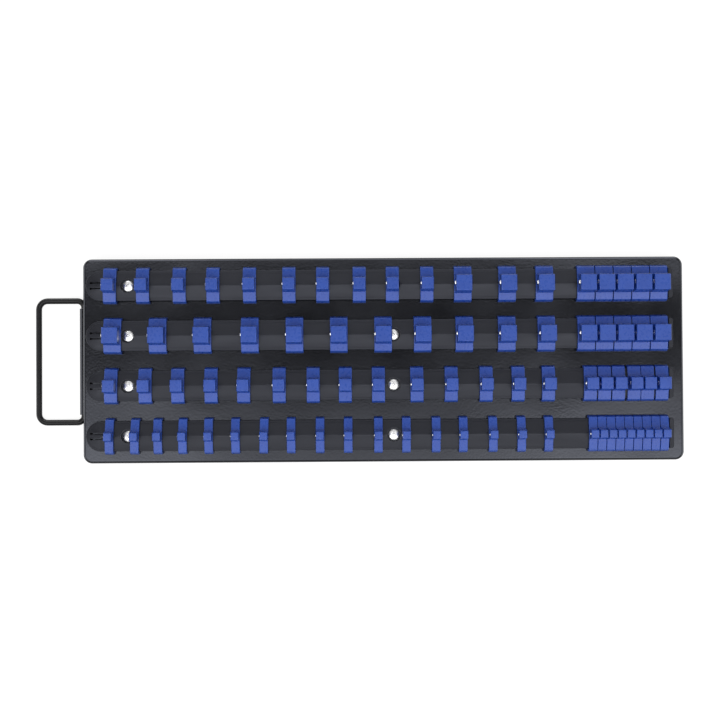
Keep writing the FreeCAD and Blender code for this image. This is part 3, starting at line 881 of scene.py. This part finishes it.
# %% The rivets
HEAD_RADIUS = 4.4 * MM
HEAD_RISE = 1.25 * MM
HEAD_BRIM = 0.35 * MM
CORE_RADIUS = 1.0 * MM
MANDREL_RADIUS = 0.85 * MM
MANDREL_DROP = 1.0 * MM
MANDREL_FLAT = 0.8  # the flat's share of its radius
MANDREL_EDGE = 0.15 * MM
CORE_DEPTH = 1.0 * MM
CORE_EDGE = 0.2 * MM
SHANK_RADIUS = 1.9 * MM
TAIL_RADIUS = 3.2 * MM
TAIL_DEPTH = 1.6 * MM
TAIL_FLAT = 0.7  # the flat's share of its radius
DOME_STEPS = 8
SPIN_STEPS = 32

dome_rise = HEAD_RISE - HEAD_BRIM
dome_radius = (HEAD_RADIUS**2 + dome_rise**2) / (2 * dome_rise)
head_top = BORE_FLOOR + HEAD_RISE


def dome(radius):
    """The head's height at a distance from its middle."""
    return head_top - dome_radius + math.sqrt(dome_radius**2 - radius**2)


mandrel_top = head_top - MANDREL_DROP
core_floor = mandrel_top - CORE_DEPTH
section = [(0, mandrel_top), (MANDREL_RADIUS * MANDREL_FLAT, mandrel_top),
           (MANDREL_RADIUS, mandrel_top - MANDREL_EDGE), (MANDREL_RADIUS, core_floor),
           (CORE_RADIUS, core_floor), (CORE_RADIUS, dome(CORE_RADIUS) - CORE_EDGE)]
edge_in = CORE_RADIUS + CORE_EDGE
outwards = [edge_in + (HEAD_RADIUS - edge_in) * step / DOME_STEPS for step in range(DOME_STEPS + 1)]
section += [(radius, dome(radius)) for radius in outwards]
section += [(HEAD_RADIUS, BORE_FLOOR), (SHANK_RADIUS, BORE_FLOOR), (SHANK_RADIUS, -SHEET),
            (TAIL_RADIUS, -SHEET), (TAIL_RADIUS, -SHEET - TAIL_DEPTH / 2),
            (TAIL_RADIUS * TAIL_FLAT, -SHEET - TAIL_DEPTH), (0, -SHEET - TAIL_DEPTH)]
rivet = draw("rivet", [(radius, 0, up) for radius, up in section])
revolve(SPIN_STEPS, (0, 0, 0))
smooth(rivet)
copies = []
for name in rails:
    for x in rivet_places:
        copies.append(place(copy_of(rivet, "rail_rivets_heads"),
                            Matrix.Translation((rail_low.x + x, row_y[name], PLATE))))
select_only(*copies)
bpy.ops.object.join()
settle(bpy.context.object, rivet_metal, "tray", "rivet_metal", "rail_rivets")
bpy.data.objects.remove(rivet)
print(f"rivets: {len(copies)}")

# %% [markdown]
# ## The clips
# A clip is a saddle that hooks under the rail's edges, with a square post on its back. There are three
# sizes, for half inch, three eighths and quarter inch drive. The saddle's section is drawn, filled and
# pulled along the rail. The post's section, with its flared foot, is pulled the same way, rounded at its
# top and joined to the saddle, and the ball's bore is drilled in the post's left face.

# %% The clips' sizes
SLIDE_PLAY = 0.3 * MM
CLIP_HALF = 14.5 * MM
HOOK_LAP = 3.6 * MM
HOOK_LIFT = 1.0 * MM
SADDLE = 2.3 * MM
SHOULDER_RUN = 1.3 * MM
SHOULDER_DROP = 3.0 * MM
CLIP_EDGE = 0.4 * MM
CLIP_STEPS = 3
CLIP_SHARP = math.radians(25)
POST_EDGE = 0.75 * MM
POST_STEPS = 4
FLARE_OUT = 1.2 * MM
FLARE_UP = 4.5 * MM
BALL_PLAY = 0.1 * MM
BALL_OUT = 0.3  # how far a ball stands out, as a share of its diameter
BALL_SIDES = 24
BALL_RINGS = 12


def clip_sizes(clip, drive, post, ball, drop):
    """A clip's length, its post's width and height, its ball, and the ball's drop from the post's top."""
    return {"clip": clip * MM, "drive": drive * MM, "post": post * MM, "ball": ball * MM, "drop": drop * MM}


SIZES = {
    "large": clip_sizes(clip=14.0, drive=12.7, post=11.8, ball=4.4, drop=5.0),
    "medium": clip_sizes(clip=10.4, drive=9.525, post=10.8, ball=3.4, drop=5.0),
    "small": clip_sizes(clip=6.8, drive=6.35, post=7.8, ball=2.2, drop=3.2),
}
clip_ridge = RIDGE_UP + SLIDE_PLAY + SADDLE
print(f"{len(SIZES)} sizes, saddles' ridges {clip_ridge / MM:.1f} mm above the plate")

# %% [markdown]
# ### Saddle, post, bore and ball
# Each part of a clip has its own function, about the origin, so that one call makes a whole clip.

# %% Saddle, post, bore and ball
def ball_place(size):
    """The ball's middle, from the middle of the clip's foot on the plate."""
    return Vector((-size["drive"] / 2 + size["ball"] * (0.5 - BALL_OUT), 0,
                   clip_ridge + size["post"] - size["drop"]))


def on_clip_edge(edge):
    """True for a saddle's sharp edges, apart from the ridges along its middle."""
    return is_sharp(edge, CLIP_SHARP) and abs(middle(edge).y) >= NEAR


def make_saddle(kind, size):
    """The saddle about the origin, its foot on the plate's level."""
    inner = RAIL_HALF + SLIDE_PLAY
    hook = inner - HOOK_LAP
    shoulder = CLIP_HALF - SHOULDER_RUN
    shoulder_top = clip_ridge - shoulder * slope
    outside = [(hook, HOOK_LIFT), (CLIP_HALF, HOOK_LIFT), (CLIP_HALF, shoulder_top - SHOULDER_DROP),
               (shoulder, shoulder_top)]
    cavity = [(ROOF_HALF, LEDGE_UP + SLIDE_PLAY), (inner, LEDGE_UP + SLIDE_PLAY),
              (inner, FOOT_UP - SLIDE_PLAY), (hook, FOOT_UP - SLIDE_PLAY)]
    ring = outside + [(0, clip_ridge)]
    ring += [(-y, z) for y, z in reversed(outside)] + [(-y, z) for y, z in reversed(cavity)]
    ring += [(0, RIDGE_UP + SLIDE_PLAY)] + cavity
    half = size["clip"] / 2
    saddle = prism(f"{kind}_clip", [(-half, y, z) for y, z in ring], (size["clip"], 0, 0))
    return bevel(saddle, on_clip_edge, CLIP_EDGE, CLIP_STEPS)


def make_post(size):
    """The post, with its flared foot sunk into the saddle's back."""
    side = size["drive"] / 2
    foot = side + FLARE_OUT
    post_top = clip_ridge + size["post"]
    half_post = [(side, post_top), (side, clip_ridge + FLARE_UP), (foot, clip_ridge),
                 (foot, clip_ridge - foot * slope - BURIED)]
    ring = half_post + [(-y, z) for y, z in reversed(half_post)]
    post = prism("post", [(-side, y, z) for y, z in ring], (2 * side, 0, 0))
    return bevel(post, lambda e: middle(e).z > post_top - NEAR, POST_EDGE, POST_STEPS)


def make_clip(kind, size):
    """One clip: its saddle and post, with the ball's bore."""
    clip = combine(make_saddle(kind, size), make_post(size), "UNION")
    mouth = (-size["drive"] / 2 - PAST, 0, ball_place(size).z)
    bore = rod("bore", size["ball"] / 2 + BALL_PLAY, mouth, size["ball"] + 2 * PAST, BALL_SIDES,
               (0, math.pi / 2, 0))
    combine(clip, bore, "DIFFERENCE")
    return smooth(clip)


def make_ball(kind, size):
    """The steel ball, where it stands out of its post."""
    bpy.ops.object.select_all(action="DESELECT")
    bpy.ops.mesh.primitive_uv_sphere_add(segments=BALL_SIDES, ring_count=BALL_RINGS,
                                         radius=size["ball"] / 2)
    ball = bpy.context.object
    ball.name = ball.data.name = f"{kind}_ball"
    bpy.ops.object.shade_smooth()
    return place(ball, Matrix.Translation(ball_place(size)) @ Matrix.Rotation(math.pi / 2, 4, "Y"))


clips = {kind: make_clip(kind, size) for kind, size in SIZES.items()}
balls = {kind: make_ball(kind, size) for kind, size in SIZES.items()}
for kind, clip in clips.items():
    print(f"{kind} clip: {len(clip.data.polygons)} faces")

# %% [markdown]
# ## Every clip in its place
# The frame knows where each clip stands and how it is turned. A node's highest vertices are the four
# corners of each post's top, so they give the clip's middle, its turn and its size.

# %% Every clip in its place
PLACES = 6  # decimal places of a metre, so that a corner's doubled vertices count once


def posts(node):
    """The middle, the turn and the kind of each clip in a node."""
    points = {tuple(round(way, PLACES) for way in vertex.co) for vertex in node.data.vertices}
    top = max(point[2] for point in points)
    corners = sorted(point for point in points if point[2] > top - NEAR)
    found = []
    for first in range(0, len(corners), 4):
        four = [Vector(point) for point in corners[first:first + 4]]
        centre = sum(four, Vector()) / 4
        left = sorted(four[:2], key=lambda point: point.y)
        turn = math.atan2(left[0].x - left[1].x, left[1].y - left[0].y)
        side = (left[1] - left[0]).length
        kind = min(SIZES, key=lambda name: abs(SIZES[name]["drive"] - side))
        found.append((centre, turn, kind))
    return found


def dress(node_name, suffix, shapes, material, slot, places):
    """Copy a shape to each place of a node, joined into one piece that stands for the node."""
    copies = []
    for centre, turn, kind in places:
        spot = Matrix.Translation((centre.x, centre.y, PLATE)) @ Matrix.Rotation(turn, 4, "Z")
        copies.append(place(copy_of(shapes[kind], f"{node_name}_{suffix}"), spot))
    select_only(*copies)
    if len(copies) > 1:
        bpy.ops.object.join()
    return settle(copies[0], material, body_of[node_name], slot, node_name)


def ball_node(clip_name):
    """The name of the node that holds this clip's ball, if the ball is a body of its own."""
    name = clip_name.replace("clip_", "detent_ball_")
    return name if name in frame["nodes"] else clip_name


count = 0
for name in sorted(frame["nodes"]):
    if name.startswith(("clip", "parked")):
        places = posts(frame["nodes"][name])
        dress(name, "shell", clips, clip_plastic, "clip_plastic", places)
        dress(ball_node(name), "balls", balls, ball_steel, "ball_steel", places)
        count += len(places)
for shape in (*clips.values(), *balls.values()):
    bpy.data.objects.remove(shape)
print(f"clips: {count}")
